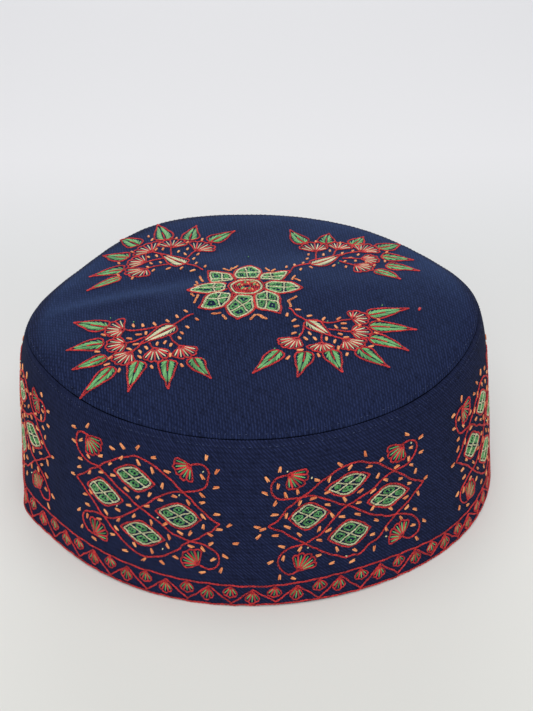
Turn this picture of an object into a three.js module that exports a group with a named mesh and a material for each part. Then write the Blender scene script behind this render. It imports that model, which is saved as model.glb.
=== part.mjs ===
// A round Kashmiri cap of navy cotton twill: a domed crown panel sewn to a tall side band.
// Millimetres, +Z up. The cap stands on its rim. The origin is on the surface it stands on, in the
// middle of the rim, and -Y is the front. Angles are turned from the front towards +X.
import * as THREE from "three";

// Cloth
const WALL = 2.4; // twill, stiffened with cotton and turned in at the edges
const SEAM_GROOVE = 0.4; // how far the crown's sewn edge stays above the band's
const NAVY = 0x222b48;

// The corner, where both panels turn over towards the seam
const BAND_ROLL = { lean: 2.6, power: 10 }; // the band leans in over its top few millimetres
const CROWN_SHOULDER = { rise: 2.6, power: 20 }; // the crown rises just inside the seam

// The crown bulges a little, and keeps the fold that the cap is stored in, from side to side
const CROWN_DOME = 2.4;
const FOLD = { rise: 4, softness: 7, behindMiddle: 3, turn: THREE.MathUtils.degToRad(7), reach: 88 };

// One row for each section round the cap: the outer radius at the rim, the outer radius at the
// seam, and the height of the seam. The rim is an oval, and the left side has sunk a little.
const SECTIONS = [
  { degrees: 0, rim: 91, seam: 87, height: 66.5 },
  { degrees: 30, rim: 92, seam: 85.5, height: 67 },
  { degrees: 60, rim: 95.5, seam: 83.5, height: 67.5 },
  { degrees: 90, rim: 95.5, seam: 85.5, height: 68.5 },
  { degrees: 120, rim: 93.5, seam: 85.5, height: 66 },
  { degrees: 150, rim: 92, seam: 86.5, height: 67.5 },
  { degrees: 180, rim: 91, seam: 87, height: 68.5 },
  { degrees: 210, rim: 92, seam: 88.5, height: 68.5 },
  { degrees: 240, rim: 94, seam: 86, height: 62.5 },
  { degrees: 270, rim: 96, seam: 87, height: 62.5 },
  { degrees: 300, rim: 93.5, seam: 84.5, height: 66 },
  { degrees: 330, rim: 92, seam: 85.5, height: 66 },
];
const MEAN_HEIGHT = SECTIONS.reduce((sum, section) => sum + section.height, 0) / SECTIONS.length;

// The storage fold leaves a soft corner in the band on the left, which fades towards the seam
const CORNER = { degrees: 292.5, reach: 2.6, spreadBefore: 3.5, spreadAfter: 6.5 };

// Soft creases and hollows pressed into the crown, each along a line seen from above
const CREASES = [
  { name: "hollow behind the fold on the left", from: [-74, 6], to: [-24, 14], lift: -1.3, spread: 6 },
  { name: "crest of the fold on the left", from: [-76, -6], to: [-40, -2], lift: 0.6, spread: 4 },
  { name: "hollow at the back", from: [-12, 40], to: [16, 40], lift: -1.4, spread: 13 },
  { name: "dent at the back left", from: [-56, 62], to: [-50, 66], lift: -1.2, spread: 7 },
];

// How finely each piece is divided. Rises run up the band from the rim, 0, to the seam, 1, and
// reaches run out across the crown from its middle, 0, to the seam, 1.
const STEPS_ROUND = 96;
const BAND_RISES_OUTSIDE = [0, 0.15, 0.35, 0.55, 0.72, 0.84, 0.91, 0.96, 1];
const BAND_RISES_INSIDE = [1, 0.93, 0.8, 0.5, 0];
const CROWN_REACHES_INSIDE = [0, 0.16, 0.33, 0.5, 0.66, 0.8, 0.9, 0.96, 1];
const CROWN_REACHES_OUTSIDE = [1, 0.975, 0.94, 0.89, 0.82, 0.73, 0.63, 0.52, 0.41, 0.3, 0.2, 0.1, 0];

const SMALL = 0.01; // step of a slope, as a share of the band's height or an angle
const SMALL_STEP = 0.5; // step of a slope on the crown, in millimetres

// A smooth closed curve through one column of SECTIONS, read at any angle.
function around(column, angle) {
  const count = SECTIONS.length;
  const place = THREE.MathUtils.euclideanModulo(angle / (2 * Math.PI), 1) * count;
  const row = Math.floor(place);
  const f = place - row;
  const [a, b, c, d] = [-1, 0, 1, 2].map((k) => SECTIONS[(row + k + count) % count][column]);
  return b + 0.5 * f * (c - a + f * (2 * a - 5 * b + 4 * c - d + f * (3 * (b - c) + d - a)));
}

// How far the soft corner stands out at the rim, at any angle.
function cornerReach(angle) {
  const turn = THREE.MathUtils.radToDeg(angle) - CORNER.degrees;
  const off = THREE.MathUtils.euclideanModulo(turn + 180, 360) - 180;
  const spread = off < 0 ? CORNER.spreadBefore : CORNER.spreadAfter;
  return CORNER.reach * Math.exp(-(off * off) / (2 * spread * spread));
}

// A point on the band's outside.
function bandPoint(angle, rise) {
  const top = around("seam", angle) + BAND_ROLL.lean;
  const lean = BAND_ROLL.lean * rise ** BAND_ROLL.power;
  const corner = cornerReach(angle) * (1 - rise) ** 2;
  const radius = THREE.MathUtils.lerp(around("rim", angle), top, rise) - lean + corner;
  const height = rise * around("height", angle);
  return new THREE.Vector3(radius * Math.sin(angle), -radius * Math.cos(angle), height);
}

// How far the pressed creases lift the crown at x, y.
function creaseLift(x, y) {
  const here = new THREE.Vector2(x, y);
  return CREASES.reduce((sum, { from, to, lift, spread }) => {
    const start = new THREE.Vector2(...from);
    const along = new THREE.Vector2(...to).sub(start);
    const share = THREE.MathUtils.clamp(here.clone().sub(start).dot(along) / along.lengthSq(), 0, 1);
    const off = here.distanceTo(start.addScaledVector(along, share));
    return sum + lift * Math.exp(-(off * off) / (2 * spread * spread));
  }, 0);
}

// How far the storage fold lifts the crown at x, y: a roof with a soft ridge.
function foldLift(x, y) {
  const off = (y - FOLD.behindMiddle) * Math.cos(FOLD.turn) - x * Math.sin(FOLD.turn);
  return FOLD.rise * (1 - Math.hypot(off, FOLD.softness) / FOLD.reach);
}

// The height of the crown's upper side at x, y.
function crownHeight(x, y) {
  const angle = Math.atan2(x, -y);
  const reach = Math.hypot(x, y) / around("seam", angle);
  const seam = MEAN_HEIGHT + (around("height", angle) - MEAN_HEIGHT) * reach ** 2;
  const shoulder = CROWN_SHOULDER.rise * (1 - reach ** CROWN_SHOULDER.power);
  const bulge = (1 - reach ** 2) * (CROWN_DOME + foldLift(x, y));
  const creases = (1 - reach ** 4) * creaseLift(x, y);
  return seam + SEAM_GROOVE + shoulder + bulge + creases;
}

// A point on the crown's upper side.
function crownPoint(angle, reach) {
  const radius = reach * around("seam", angle);
  const x = radius * Math.sin(angle);
  const y = -radius * Math.cos(angle);
  return new THREE.Vector3(x, y, crownHeight(x, y));
}

// The direction from the band's outside straight through the cloth.
function bandInward(angle, rise) {
  const round = bandPoint(angle + SMALL, rise).sub(bandPoint(angle - SMALL, rise));
  const up = bandPoint(angle, Math.min(rise + SMALL, 1)).sub(bandPoint(angle, Math.max(rise - SMALL, 0)));
  return up.cross(round).normalize();
}

// The direction from the crown's upper side straight through the cloth.
function crownInward(point) {
  const { x, y } = point;
  const slopeX = crownHeight(x + SMALL_STEP, y) - crownHeight(x - SMALL_STEP, y);
  const slopeY = crownHeight(x, y + SMALL_STEP) - crownHeight(x, y - SMALL_STEP);
  return new THREE.Vector3(slopeX, slopeY, -2 * SMALL_STEP).normalize();
}

// At the seam both panels end on one slanting face, halfway between their own directions.
function seamInward(angle) {
  return bandInward(angle, 1).add(crownInward(crownPoint(angle, 1))).normalize();
}

function throughBand(angle, rise) {
  if (rise === 1) return seamInward(angle);
  const inward = bandInward(angle, rise);
  return rise === 0 ? inward.setZ(0).normalize() : inward;
}

function throughCrown(angle, reach) {
  return reach === 1 ? seamInward(angle) : crownInward(crownPoint(angle, reach));
}

// Rows of a panel's section: shares of the way across it, on the outside or the inside of the cloth.
function outside(shares) {
  return shares.map((share) => ({ share, depth: 0 }));
}

function inside(shares) {
  return shares.map((share) => ({ share, depth: WALL }));
}

// Lathes the panel's section as a flat ring, then moves each corner to its place on the cap.
function bentLathe(rows, place, through) {
  const section = rows.map(({ share, depth }) => new THREE.Vector2(share, -depth));
  const geometry = new THREE.LatheGeometry(section, STEPS_ROUND);
  const corners = geometry.getAttribute("position");
  for (let i = 0; i < corners.count; i += 1) {
    const step = Math.floor(i / rows.length) % STEPS_ROUND;
    const angle = (step / STEPS_ROUND) * 2 * Math.PI;
    const { share, depth } = rows[i % rows.length];
    const corner = place(angle, share).addScaledVector(through(angle, share), depth);
    corners.setXYZ(i, corner.x, corner.y, corner.z);
  }
  geometry.computeVertexNormals();
  return geometry;
}

function twill() {
  return new THREE.MeshStandardMaterial({ color: NAVY, roughness: 0.9, metalness: 0 });
}

function sideBand() {
  const rim = outside([BAND_RISES_OUTSIDE[0]]);
  const rows = [...outside(BAND_RISES_OUTSIDE), ...inside(BAND_RISES_INSIDE), ...rim];
  const mesh = new THREE.Mesh(bentLathe(rows, bandPoint, throughBand), twill());
  mesh.name = "side_band";
  return mesh;
}

function crown() {
  const rows = [...inside(CROWN_REACHES_INSIDE), ...outside(CROWN_REACHES_OUTSIDE)];
  const mesh = new THREE.Mesh(bentLathe(rows, crownPoint, throughCrown), twill());
  mesh.name = "crown";
  return mesh;
}

const cap = new THREE.Group();
cap.add(sideBand(), crown());

export default cap;
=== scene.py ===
# %% [markdown]
# # A Kashmiri cap, sewn and embroidered
#
# The real cap is two pieces of stiffened navy cotton twill: a round crown and a tall side band.
# Before they are sewn together, both are worked in chain stitch, straight stitch and small seed
# stitches in red, green, cream and orange thread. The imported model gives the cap's size and its
# place, so it is loaded first, and everything below is built round it.

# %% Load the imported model
import math

import bmesh
import bpy
import numpy as np
from mathutils import Matrix, Vector


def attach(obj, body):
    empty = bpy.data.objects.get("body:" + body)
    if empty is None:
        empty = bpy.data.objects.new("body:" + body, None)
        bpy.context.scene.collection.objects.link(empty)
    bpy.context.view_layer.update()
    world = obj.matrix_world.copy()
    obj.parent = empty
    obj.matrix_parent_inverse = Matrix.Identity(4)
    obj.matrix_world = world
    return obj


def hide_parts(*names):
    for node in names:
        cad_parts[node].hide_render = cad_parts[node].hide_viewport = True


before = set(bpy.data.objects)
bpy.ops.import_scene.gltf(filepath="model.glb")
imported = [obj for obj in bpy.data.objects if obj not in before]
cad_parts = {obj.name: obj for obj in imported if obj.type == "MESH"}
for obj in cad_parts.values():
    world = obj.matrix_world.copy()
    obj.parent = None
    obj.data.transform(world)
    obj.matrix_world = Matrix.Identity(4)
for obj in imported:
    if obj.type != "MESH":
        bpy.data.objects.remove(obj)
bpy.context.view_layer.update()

MM = 0.001


def placed(name, data):
    """Puts a mesh, a camera or a light in the scene as a new object."""
    made = bpy.data.objects.new(name, data)
    bpy.context.scene.collection.objects.link(made)
    return made


# %% [markdown]
# ## The camera
#
# The photograph looks down on the cap from the front. The place, the turn and the lens were worked
# out from the outline of the rim and of the seam. Three axes make the camera's matrix: its right,
# its up, and its back, which is opposite to where it looks.

# %% Place the camera
EYE = Vector((-0.75, -336.1, 244.5)) * MM
PITCH = math.radians(30.69)
YAW = math.radians(0.90)
ROLL = math.radians(-0.50)


def eye_axes():
    ahead = Vector((math.sin(YAW) * math.cos(PITCH), math.cos(YAW) * math.cos(PITCH), -math.sin(PITCH)))
    right = ahead.cross(Vector((0, 0, 1))).normalized()
    up = right.cross(ahead)
    tilt = Matrix.Rotation(-ROLL, 3, ahead)
    return tilt @ right, tilt @ up, -ahead


def add_camera():
    data = bpy.data.cameras.new("camera")
    data.lens = 50
    data.sensor_width = 36
    data.clip_start = 0.01
    camera = placed("camera", data)
    camera.matrix_world = Matrix.Translation(EYE) @ Matrix(eye_axes()).transposed().to_4x4()
    bpy.context.scene.camera = camera
    return camera


camera = add_camera()
bpy.context.scene.view_settings.view_transform = "Standard"  # deep navy and red stay as deep as they are
print("The camera is", round(camera.location.length, 3), "metres from the middle of the rim")

# %% [markdown]
# ## The cap's shape in numbers
#
# The cap isn't a true cylinder: it is handmade, and it has been folded flat for storage. Twelve
# sections round it give the radius of the rim, the radius of the seam and the height of the seam,
# and a smooth curve runs through them. The same fold leaves a soft corner in the band on the left.
# The crown bulges a little, with a soft fold from side to side and a few hollows. The cloth and
# all the stitches read these same functions, so the stitches always lie on the cloth. Everything
# is in millimetres until it becomes a mesh.

# %% Describe the cap's surface
SECTIONS = np.array([
    # degrees from the front, rim radius, seam radius, seam height
    (0, 91, 87, 66.5), (30, 92, 85.5, 67), (60, 95.5, 83.5, 67.5), (90, 95.5, 85.5, 68.5),
    (120, 93.5, 85.5, 66), (150, 92, 86.5, 67.5), (180, 91, 87, 68.5), (210, 92, 88.5, 68.5),
    (240, 94, 86, 62.5), (270, 96, 87, 62.5), (300, 93.5, 84.5, 66), (330, 92, 85.5, 66),
])
RIM, SEAM, HEIGHT = 1, 2, 3
MEAN_HEIGHT = SECTIONS[:, HEIGHT].mean()
MEAN_RADIUS = 92
CORNER_AT, CORNER_BEFORE, CORNER_AFTER = 292.5, 3.5, 6.5  # degrees, and how far it spreads each way
CORNER_REACH = 2.6
CREASES = (
    # from, to, lift, spread
    ((-74, 6), (-24, 14), -1.3, 6),
    ((-76, -6), (-40, -2), 0.6, 4),
    ((-12, 40), (16, 40), -1.4, 13),
    ((-56, 62), (-50, 66), -1.2, 7),
)
WALL = 2.4
SEAM_GAP = 0.09
LEAN, LEAN_POWER = 2.6, 10
SHOULDER, SHOULDER_POWER = 2.6, 20
PUCKER_POWER = 60
DOME = 2.4
FOLD_RISE, FOLD_SOFTNESS, FOLD_BEHIND, FOLD_TURN, FOLD_REACH = 4, 7, 3, math.radians(7), 88
STEP_ON_CROWN, STEP_ON_BAND = 0.5, 0.01  # between two points that a slope is read from


def through(a, b, c, d, f):
    """A smooth curve from b to c, with a and d as the neighbours, at share f of the way."""
    return b + 0.5 * f * (c - a + f * (2 * a - 5 * b + 4 * c - d + f * (3 * (b - c) + d - a)))


def around(column, angle):
    place = np.mod(np.asarray(angle) / (2 * np.pi), 1) * len(SECTIONS)
    row = np.floor(place).astype(int)
    near = [SECTIONS[(row + k) % len(SECTIONS), column] for k in (-1, 0, 1, 2)]
    return through(*near, place - row)


def ripple(u, v):
    """The slight unevenness that the needle leaves in the cloth."""
    return 0.10 * np.sin(u / 3.7 + v / 9.0 + 1.0) + 0.09 * np.sin(v / 4.9 - u / 8.0)


def pucker(angle):
    """The sewing draws the crown's edge down a little at each stitch, so the seam isn't quite even."""
    return 0.08 * np.sin(41 * angle + 3 * np.sin(5 * angle)) + 0.05 * np.sin(9 * angle + 1)


def crown_height(x, y):
    angle = np.arctan2(x, -y)
    reach = np.clip(np.hypot(x, y) / around(SEAM, angle), 0, 1)
    height = MEAN_HEIGHT + (around(HEIGHT, angle) - MEAN_HEIGHT) * reach ** 2 + SEAM_GAP
    height = height + SHOULDER * (1 - reach ** SHOULDER_POWER) + pucker(angle) * reach ** PUCKER_POWER
    off = (y - FOLD_BEHIND) * math.cos(FOLD_TURN) - x * math.sin(FOLD_TURN)
    fold = FOLD_RISE * (1 - np.hypot(off, FOLD_SOFTNESS) / FOLD_REACH)
    height = height + (1 - reach ** 2) * (DOME + fold)
    for (x0, y0), (x1, y1), lift, spread in CREASES:
        length = math.hypot(x1 - x0, y1 - y0)
        share = np.clip(((x - x0) * (x1 - x0) + (y - y0) * (y1 - y0)) / length ** 2, 0, 1)
        gap = np.hypot(x - x0 - share * (x1 - x0), y - y0 - share * (y1 - y0))
        height = height + (1 - reach ** 4) * lift * np.exp(-gap ** 2 / (2 * spread ** 2))
    return height + (1 - reach ** 4) * ripple(x, y)


def crown_point(angle, reach):
    radius = reach * around(SEAM, angle)
    x, y = radius * np.sin(angle), -radius * np.cos(angle)
    return np.stack([x, y, crown_height(x, y)], -1)


def corner_reach(angle):
    """How far the soft corner on the left stands out at the rim."""
    off = np.mod(np.degrees(angle) - CORNER_AT + 180, 360) - 180
    spread = np.where(off < 0, CORNER_BEFORE, CORNER_AFTER)
    return CORNER_REACH * np.exp(-off ** 2 / (2 * spread ** 2))


def band_point(angle, rise):
    top = around(SEAM, angle) + LEAN
    radius = around(RIM, angle) * (1 - rise) + top * rise - LEAN * np.abs(rise) ** LEAN_POWER
    height = rise * around(HEIGHT, angle)
    radius = radius + corner_reach(angle) * (1 - rise) ** 2
    radius = radius + (4 * rise * (1 - rise)) ** 2 * ripple(MEAN_RADIUS * angle, height)
    return np.stack([radius * np.sin(angle), -radius * np.cos(angle), height], -1)


def unit(v):
    return v / np.linalg.norm(v, axis=-1, keepdims=True)


def crown_outward(x, y):
    """The direction straight out of the crown's cloth."""
    step = STEP_ON_CROWN
    slope_x = crown_height(x + step, y) - crown_height(x - step, y)
    slope_y = crown_height(x, y + step) - crown_height(x, y - step)
    return unit(np.stack([-slope_x, -slope_y, np.full_like(slope_x, 2 * step)], -1))


def band_outward(angle, rise):
    """The direction straight out of the band's cloth."""
    step = STEP_ON_BAND
    ahead = band_point(angle + step, rise) - band_point(angle - step, rise)
    up = band_point(angle, np.minimum(rise + step, 1)) - band_point(angle, np.maximum(rise - step, 0))
    return unit(np.cross(ahead, up))


print("The crown's middle is", round(float(crown_height(0.0, 0.0)), 1), "mm above the floor")

# %% [markdown]
# ## The two cloth panels
#
# Each panel is a line of points, its section, spun round the middle into a flat ring. Then every
# point is moved to its place on the cap. The section goes over the outside of the cloth, round its
# folded edge and back along the inside, so a panel is one closed skin with a real thickness. At the
# seam both panels turn in over a small round edge and meet below it, which leaves the fine groove.
# At the rim the band has a hem, turned up inside.

# %% Spin and shape the panels
STEPS_ROUND = 240
SEWN = 0.994  # from here to the seam a panel turns in
RIM_EDGE = 0.02  # up to here the band is as thick as its cloth, measured level


def seam_inward(angle):
    edge = crown_point(angle, 1.0)
    return -unit(band_outward(angle, 1.0) + crown_outward(edge[..., 0], edge[..., 1]))


def on_panel(place, outward, angle, share, depth):
    """The place of a point at a share of the way across a panel, and so deep in the cloth."""
    inward = -outward(angle, np.minimum(share, 1.0))
    inward = np.where((share >= SEWN)[:, None], seam_inward(angle), inward)
    return place(angle, share) + inward * depth[:, None]


def crown_way(angle, reach):
    edge = crown_point(angle, reach)
    return crown_outward(edge[:, 0], edge[:, 1])


def band_way(angle, rise):
    out = band_outward(angle, rise)
    out[:, 2] = np.where(rise <= RIM_EDGE, 0, out[:, 2])
    return unit(out)


def spun_panel(name, section, hole, place, outward, closed):
    """Spins a section of (share, depth) rows. The hole keeps the ring's two edges apart."""
    bm = bmesh.new()
    line = [bm.verts.new((hole + share, 0, -depth)) for share, depth in section]
    edges = [bm.edges.new(pair) for pair in zip(line, line[1:])]
    if closed:
        edges.append(bm.edges.new((line[-1], line[0])))
    bmesh.ops.spin(bm, geom=line + edges, cent=(0, 0, 0), axis=(0, 0, 1), angle=2 * math.pi,
                   steps=STEPS_ROUND, use_merge=True)
    bmesh.ops.remove_doubles(bm, verts=bm.verts, dist=1e-6)
    ring = np.array([v.co for v in bm.verts])
    angle = np.arctan2(ring[:, 0], -ring[:, 1])
    share = np.round(np.hypot(ring[:, 0], ring[:, 1]) - hole, 5)
    for vert, spot in zip(bm.verts, on_panel(place, outward, angle, share, -ring[:, 2]) * MM):
        vert.co = spot
    bmesh.ops.recalc_face_normals(bm, faces=bm.faces)
    mesh = bpy.data.meshes.new(name)
    bm.to_mesh(mesh)
    bm.free()
    mesh.shade_smooth()
    print(name, "has", len(mesh.polygons), "faces")
    return placed(name, mesh)


def steps(first, last, count):
    return list(np.linspace(first, last, count))


CROWN_SECTION = (
    # the inside, the edge at the seam, the outside
    [(share, WALL) for share in steps(0, 0.97, 28)]
    + [(0.9994, WALL), (0.9994, 0.9), (0.9985, 0.3), (0.995, 0.06)]
    + [(share, 0.0) for share in steps(0.98, 0.9, 12) + steps(0.885, 0, 56)]
)
TURNING_DEPTH = 3.4
HEM_DEPTH = WALL + 0.5
BAND_SECTION = (
    # the rim, the outside, the edge at the seam, its turning, the inside, the hem
    [(0.0, 1.2), (0.001, 0.35), (0.006, 0.05)]
    + [(rise, 0.0) for rise in steps(0.02, 0.86, 42) + steps(0.875, 0.975, 12)]
    + [(0.993, 0.06), (0.9975, 0.28), (0.9991, 0.8), (0.9994, 1.8), (1.0065, WALL + 0.2)]
    + [(1.0065, TURNING_DEPTH), (0.96, TURNING_DEPTH + 0.2), (0.90, TURNING_DEPTH + 0.1), (0.893, WALL + 0.1)]
    + [(rise, WALL) for rise in steps(0.87, 0.24, 12)]
    + [(0.215, WALL + 0.05), (0.205, HEM_DEPTH), (0.1, HEM_DEPTH), (0.02, HEM_DEPTH)]
    + [(0.003, HEM_DEPTH - 0.5)]
)

crown = spun_panel("crown_cloth", CROWN_SECTION, 0.0, crown_point, crown_way, False)
band = spun_panel("band_cloth", BAND_SECTION, 1.0, band_point, band_way, True)

# %% [markdown]
# ## A map for the weave
#
# A weave follows the cloth, not the room, so each panel gets a UV map in metres. The crown's map is
# simply the cloth seen from above. The band's map is the band rolled out flat: the way round it, and
# the height. At the back, where the two ends of the real band are sewn together, the map ends too.

# %% Lay the maps
BAND_RADIUS = 91.5 * MM


def wrapped(values, loops_face, period):
    """Keeps the corners of one face together where a value starts again after one turn."""
    first = values[np.unique(loops_face, return_index=True)[1]][loops_face]
    return values - period * np.round((values - first) / period)


def lay_map(panel, read):
    mesh = panel.data
    corners = np.zeros(len(mesh.loops), int)
    mesh.loops.foreach_get("vertex_index", corners)
    spots = np.zeros(len(mesh.vertices) * 3)
    mesh.vertices.foreach_get("co", spots)
    counts = np.zeros(len(mesh.polygons), int)
    mesh.polygons.foreach_get("loop_total", counts)
    uv = read(spots.reshape(-1, 3)[corners], np.repeat(np.arange(len(counts)), counts))
    mesh.uv_layers.new(name="cloth").data.foreach_set("uv", uv.astype(np.float32).ravel())
    print(panel.name, "has a map of", np.ptp(uv, 0).round(3), "metres")


def from_above(spots, faces):
    return spots[:, :2]


def rolled_out(spots, faces):
    angle = wrapped(np.arctan2(spots[:, 0], -spots[:, 1]), faces, 2 * np.pi)
    return np.stack([angle * BAND_RADIUS, spots[:, 2]], -1)


lay_map(crown, from_above)
lay_map(band, rolled_out)

# %% [markdown]
# ## Helpers for materials
#
# A material is a net of nodes. Each node could be placed by hand in the editor, but the twill alone
# needs over forty, and thread needs the same kinds again. So a few short functions make a node,
# give it its numbers or link it to others, and hand back what comes out of it. The sums in a
# material then read like sums.

# %% Write the material helpers
def node(tree, kind, **settings):
    made = tree.nodes.new(kind)
    for name, value in settings.items():
        setattr(made, name, value)
    return made


def link(tree, source, target):
    tree.links.new(source, target)


def calc(tree, operation, *values):
    """A Math node. Each value is a number or another node's output."""
    made = node(tree, "ShaderNodeMath", operation=operation)
    for socket, value in zip(made.inputs, values):
        if isinstance(value, (int, float)):
            socket.default_value = value
        else:
            link(tree, value, socket)
    return made.outputs[0]


def new_material(name):
    material = bpy.data.materials.new(name)
    material.use_nodes = True
    return material, material.node_tree, material.node_tree.nodes["Principled BSDF"]


def linear(*colour):
    """A colour as seen on screen, 0 to 255, as the linear values that nodes use."""
    shares = (value / 255 for value in colour)
    return tuple(s / 12.92 if s < 0.0404 else ((s + 0.055) / 1.055) ** 2.4 for s in shares) + (1.0,)


def mixed(tree, factor, dark, light):
    mix = node(tree, "ShaderNodeMix", data_type="RGBA")
    mix.inputs["A"].default_value = dark
    mix.inputs["B"].default_value = light
    link(tree, factor, mix.inputs["Factor"])
    return mix.outputs["Result"]


def cloth_noise(tree, vector, scale, detail):
    noise = node(tree, "ShaderNodeTexNoise")
    noise.inputs["Scale"].default_value = scale
    noise.inputs["Detail"].default_value = detail
    link(tree, vector, noise.inputs["Vector"])
    return noise.outputs["Fac"]


def bumped(tree, shader, height, distance, strength):
    bump = node(tree, "ShaderNodeBump")
    bump.inputs["Distance"].default_value = distance
    bump.inputs["Strength"].default_value = strength
    link(tree, height, bump.inputs["Height"])
    link(tree, bump.outputs["Normal"], shader.inputs["Normal"])


print("The navy (37, 47, 82) is", [round(value, 3) for value in linear(37, 47, 82)[:3]], "to a node")

# %% [markdown]
# ## Navy twill
#
# Twill is woven so that its threads step sideways in each row, and the steps make fine slanting
# ribs about a millimetre apart. They could be an image, but a few sine waves do it better, because
# they stay sharp close up. One wave makes the ribs, a second breaks each rib into single floats of
# thread, and noise bends them and makes the yarn thicker and thinner, as in real cloth. The ribs
# lift the surface through a bump node, and the same height is also painted into the colour: a
# painted highlight on top of each rib and painted shade between them. Sheen stands for the fine
# hairs of cotton, which catch light where the cloth turns away from the eye. That is why the far
# half of the crown, behind the fold, looks lighter than the near one.

# %% Make the twill
FLOAT_LENGTH = 2.2 * MM
FLOAT_STEP = 0.38  # of a float's length, from one rib to the next
FLOAT_DEPTH = 0.24
BEND_SCALE, BEND = 75, 1.8
SLUB_SCALE, SLUB_STRETCH, SLUB_DEPTH, SLUB_LEVEL = 1.3, 0.4, 2.5, -0.8
FUZZ_SCALE, CLOUD_SCALE = 2500, 35
SHEEN_ENDS = 0.078, 0.084  # metres from the middle of the map
SHEEN_LIMIT = 0.17


def twill(name, rib_turn, pitch, spread, painted_rib_contrast, hairiness, dark, light):
    """rib_turn is the angle of the ribs from the map's upward direction, in degrees.

    The spread makes them part on the way to the back, and the rib contrast is how strongly the ribs' painted
    light and shade show in the colour, not in the bump."""
    material, tree, shader = new_material(name)
    uv = node(tree, "ShaderNodeUVMap", uv_map="cloth").outputs[0]
    split = node(tree, "ShaderNodeSeparateXYZ")
    link(tree, uv, split.inputs[0])
    u, v = split.outputs[0], split.outputs[1]
    cos, sin = math.cos(math.radians(rib_turn)), math.sin(math.radians(rib_turn))
    bend = calc(tree, "MULTIPLY", cloth_noise(tree, uv, BEND_SCALE, 6), BEND)
    across = calc(tree, "ADD", calc(tree, "MULTIPLY", u, cos / pitch), calc(tree, "MULTIPLY", v, sin / pitch))
    parting = calc(tree, "MULTIPLY", calc(tree, "MULTIPLY", u, calc(tree, "ADD", v, 0.06)), spread / pitch)
    across = calc(tree, "ADD", calc(tree, "SUBTRACT", across, parting), bend)
    along = calc(tree, "SUBTRACT", calc(tree, "MULTIPLY", v, cos / FLOAT_LENGTH),
                 calc(tree, "MULTIPLY", u, sin / FLOAT_LENGTH))
    wave = calc(tree, "SINE", calc(tree, "MULTIPLY", across, 2 * math.pi))
    rib = calc(tree, "MULTIPLY_ADD", wave, 0.5, 0.5)
    step = calc(tree, "MULTIPLY", calc(tree, "FLOOR", across), FLOAT_STEP)
    floats = calc(tree, "SINE", calc(tree, "MULTIPLY", calc(tree, "ADD", along, step), 2 * math.pi))
    yarn = node(tree, "ShaderNodeCombineXYZ")
    link(tree, across, yarn.inputs[0])
    link(tree, calc(tree, "MULTIPLY", along, SLUB_STRETCH), yarn.inputs[1])
    slub = cloth_noise(tree, yarn.outputs[0], SLUB_SCALE, 3)
    slub = calc(tree, "MULTIPLY_ADD", slub, SLUB_DEPTH, SLUB_LEVEL)
    weave = calc(tree, "MULTIPLY", rib, calc(tree, "MULTIPLY_ADD", floats, FLOAT_DEPTH, slub))
    fuzz = cloth_noise(tree, uv, FUZZ_SCALE, 2)
    height = calc(tree, "MULTIPLY_ADD", fuzz, 0.5, weave)
    cloud = cloth_noise(tree, uv, CLOUD_SCALE, 4)
    level = calc(tree, "MULTIPLY_ADD", cloud, 0.25, 0.3 * (1 - painted_rib_contrast))
    # painted light on the rib tops and painted shade between them, over the cloth's own cloudy tone and fuzz
    shade = calc(tree, "MULTIPLY_ADD", weave, painted_rib_contrast, level)
    shade = calc(tree, "MULTIPLY_ADD", fuzz, 0.35, shade)
    link(tree, mixed(tree, shade, linear(*dark), linear(*light)), shader.inputs["Base Color"])
    facing = node(tree, "ShaderNodeLayerWeight").outputs["Facing"]
    sheen = calc(tree, "MULTIPLY", calc(tree, "POWER", facing, 3), hairiness)
    sheen = calc(tree, "MINIMUM", sheen, SHEEN_LIMIT * hairiness)
    far = node(tree, "ShaderNodeVectorMath", operation="LENGTH")
    link(tree, uv, far.inputs[0])
    inner = node(tree, "ShaderNodeMapRange", interpolation_type="SMOOTHSTEP")
    link(tree, far.outputs["Value"], inner.inputs["Value"])
    for limit, value in zip(("From Min", "From Max", "To Min", "To Max"), (*SHEEN_ENDS, 1, 0)):
        inner.inputs[limit].default_value = value
    link(tree, calc(tree, "MULTIPLY", sheen, inner.outputs[0]), shader.inputs["Sheen Weight"])
    shader.inputs["Sheen Roughness"].default_value = 0.4
    shader.inputs["Sheen Tint"].default_value = linear(110, 165, 255)
    shader.inputs["Roughness"].default_value = 0.85
    shader.inputs["Specular IOR Level"].default_value = 0.05
    bumped(tree, shader, height, 0.12 * MM, 0.55)
    return material


crown.data.materials.append(twill("crown_twill", 4, 0.92 * MM, 1.6, 0.95, 1.4, (8, 11, 27), (37, 47, 82)))
# The band is the same cloth as the crown; its navy is a touch darker, as painted shade for its upright sides.
band.data.materials.append(twill("band_twill", 44, 0.9 * MM, 0, 0.9, 0.15, (8, 11, 26), (37, 45, 79)))
print("The band's twill has", len(band.data.materials[0].node_tree.nodes), "nodes")

# %% [markdown]
# ## One stitch at a time
#
# Thousands of stitches would be far too slow to model one by one, so two small shapes are made once
# and then repeated. A link of chain stitch is a loop of thread, narrow where it comes out of the
# link before and round where the next one holds it down: a ring, spun from a small circle and
# pulled into a drop. A strand is a straight stitch, a long ball that dips into the cloth at both
# ends. Both have about thirty faces. Each copy is moved with plain arrays, and all the copies
# of one colour are joined into one mesh, which is much faster than thousands of objects.

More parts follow.
